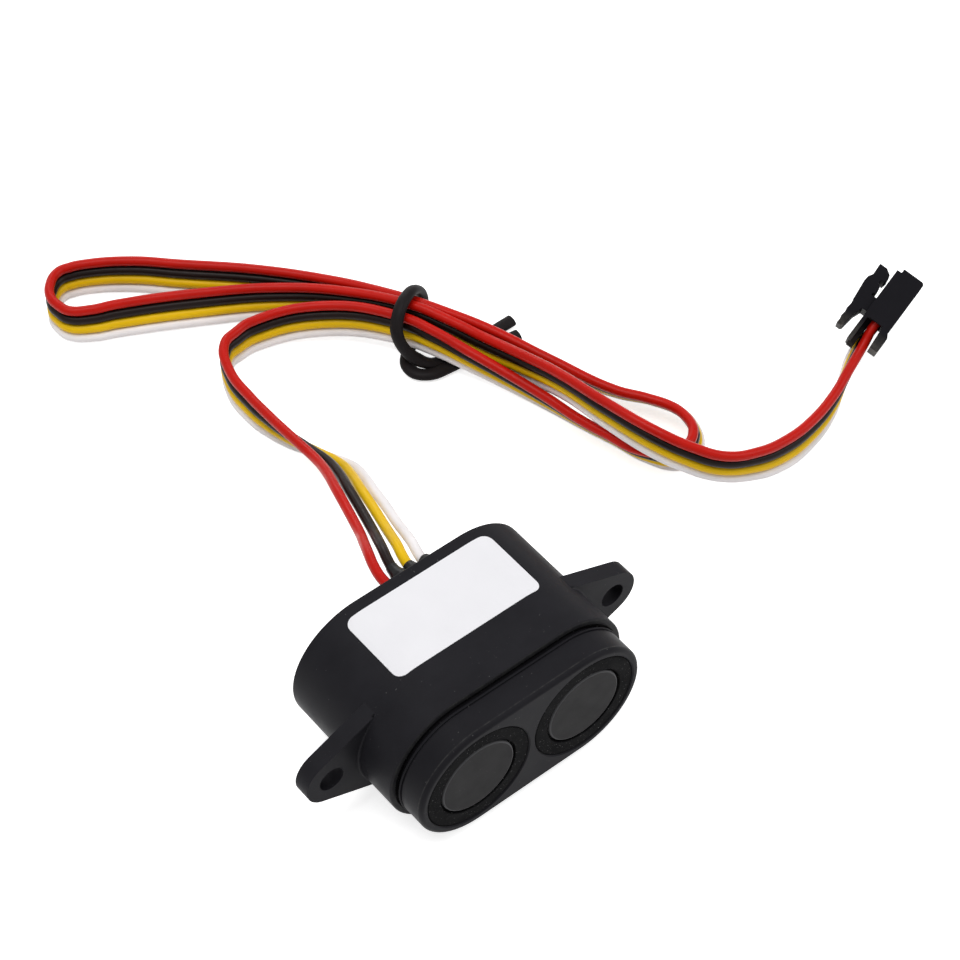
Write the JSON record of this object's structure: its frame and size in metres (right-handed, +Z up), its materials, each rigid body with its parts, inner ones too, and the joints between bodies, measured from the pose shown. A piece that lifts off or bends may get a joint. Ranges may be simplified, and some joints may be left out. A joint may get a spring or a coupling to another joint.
{
  "type": "ultrasonic distance sensor",
  "caption": "Sealed dual-transducer ultrasonic distance sensor with mounting ears, flat label and a folded ribbon lead ending in a latching plug.",
  "frame": {"origin": "centre of the housing's underside, lead and plug not counted, so the part stands on z = 0", "axes": "+Z up, +X along the line through the two mounting holes, -Y the way the transducers face"},
  "size_m": [0.1517, 0.1388, 0.0257],
  "materials": {
    "housing_plastic": "satin black ABS",
    "bezel_plastic": "satin black ABS",
    "seal_rubber": "matt",
    "ring_rubber": "matt",
    "can_metal": "matt dark anodised",
    "piezo": "plain",
    "felt": "plain",
    "filling": "matt",
    "tinned_pin": "tinned",
    "board": "green solder mask",
    "chip": "moulded",
    "transformer": "wound wire",
    "capacitor_can": "sleeved",
    "sealant": "semi-gloss black",
    "label_film": "satin white",
    "red_pvc": "glossy",
    "black_pvc": "glossy",
    "yellow_pvc": "glossy",
    "white_pvc": "glossy",
    "plug_nylon": "satin black nylon",
    "contact_metal": "tinned",
    "tie_plastic": "semi-gloss black"
  },
  "bodies": {
    "root": {"housing": "housing_plastic", "bezel": "bezel_plastic", "bezel_seal": "seal_rubber", "transmitter_ring": "ring_rubber", "receiver_ring": "ring_rubber", "transmitter_can": "can_metal", "receiver_can": "can_metal", "transmitter_piezo": "piezo", "receiver_piezo": "piezo", "transmitter_felt": "felt", "receiver_felt": "felt", "transmitter_filling": "filling", "receiver_filling": "filling", "transducer_leads": "tinned_pin", "circuit_board": "board", "microcontroller": "chip", "amplifier_chip": "chip", "drive_transformer": "transformer", "capacitors": "capacitor_can", "rear_sealant": "sealant", "label": "label_film", "red_wire": "red_pvc", "black_wire": "black_pvc", "yellow_wire": "yellow_pvc", "white_wire": "white_pvc", "connector_housing": "plug_nylon", "connector_contacts": "contact_metal", "twist_tie": "tie_plastic"}
  },
  "joints": []
}
